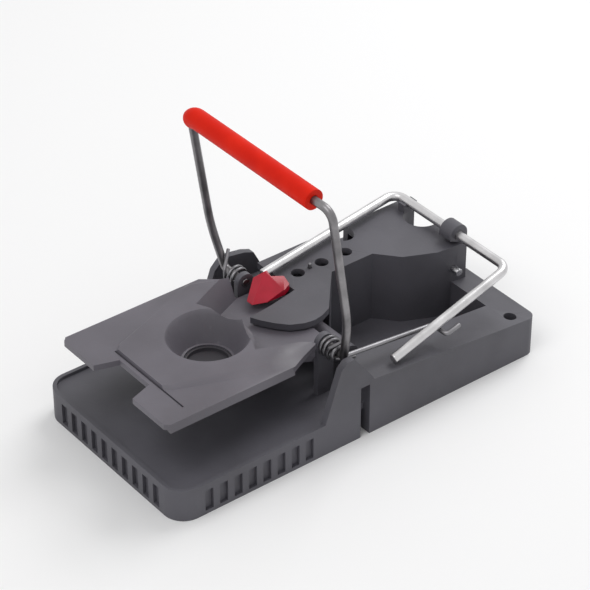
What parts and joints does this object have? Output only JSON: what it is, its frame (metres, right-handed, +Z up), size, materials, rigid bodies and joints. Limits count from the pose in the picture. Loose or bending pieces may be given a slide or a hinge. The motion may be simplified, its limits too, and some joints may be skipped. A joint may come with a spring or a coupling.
{
  "type": "mouse trap",
  "caption": "Small moulded snap mouse trap shown set: long trip pedal with a bait bowl, upright sprung wire kill bar with a red sleeve, wire lock bar held by a red catch.",
  "frame": {"origin": "middle of the base's underside", "axes": "+X across the trap towards the side with the holding tail, -Y towards the pedal end, +Z up"},
  "size_m": [0.0504, 0.1, 0.0638],
  "materials": {
    "grey_plastic": "satin moulded plastic, dark slate grey",
    "pedal_plastic": "satin moulded plastic, a little lighter slate grey",
    "dark_plastic": "dark moulded plastic",
    "red_plastic": "glossy crimson plastic",
    "sleeve_red": "soft red-orange vinyl sleeve",
    "pin_steel": "bright steel",
    "bar_wire": "galvanised spring wire",
    "thin_wire": "bright thin wire",
    "spring_wire": "spring steel wire",
    "lock_wire": "bright galvanised wire"
  },
  "bodies": {
    "frame": {"base": "grey_plastic", "pedal_pin": "pin_steel", "near_spring": "spring_wire", "far_spring": "spring_wire", "rear_pin": "pin_steel"},
    "striker": {"kill_bar": "bar_wire", "bar_sleeve": "sleeve_red", "holding_tail": "thin_wire"},
    "lock": {"lock_bar": "lock_wire"},
    "pedal": {"trip_pedal": "pedal_plastic", "bait_cup": "dark_plastic", "trigger_catch": "red_plastic"}
  },
  "joints": [
    {"name": "kill_bar_swing", "type": "hinge", "parent": "frame", "child": "striker", "pos_m": [0, -0.0031, 0.0206], "axis": [1, 0, 0], "range_deg": [0, 85], "deforming": ["near_spring", "far_spring"]},
    {"name": "lock_bar_lift", "type": "hinge", "parent": "frame", "child": "lock", "pos_m": [0, 0.0451, 0.0222], "axis": [-1, 0, 0], "range_deg": [0, 107]},
    {"name": "pedal_tilt", "type": "hinge", "parent": "frame", "child": "pedal", "pos_m": [0, 0.005, 0.012], "axis": [1, 0, 0], "range_deg": [0, 12]}
  ],
  "couplings": [
    {"joint": "lock_bar_lift", "follows": "kill_bar_swing", "ratio": 1.25},
    {"joint": "pedal_tilt", "follows": "kill_bar_swing", "ratio": 0.141}
  ]
}
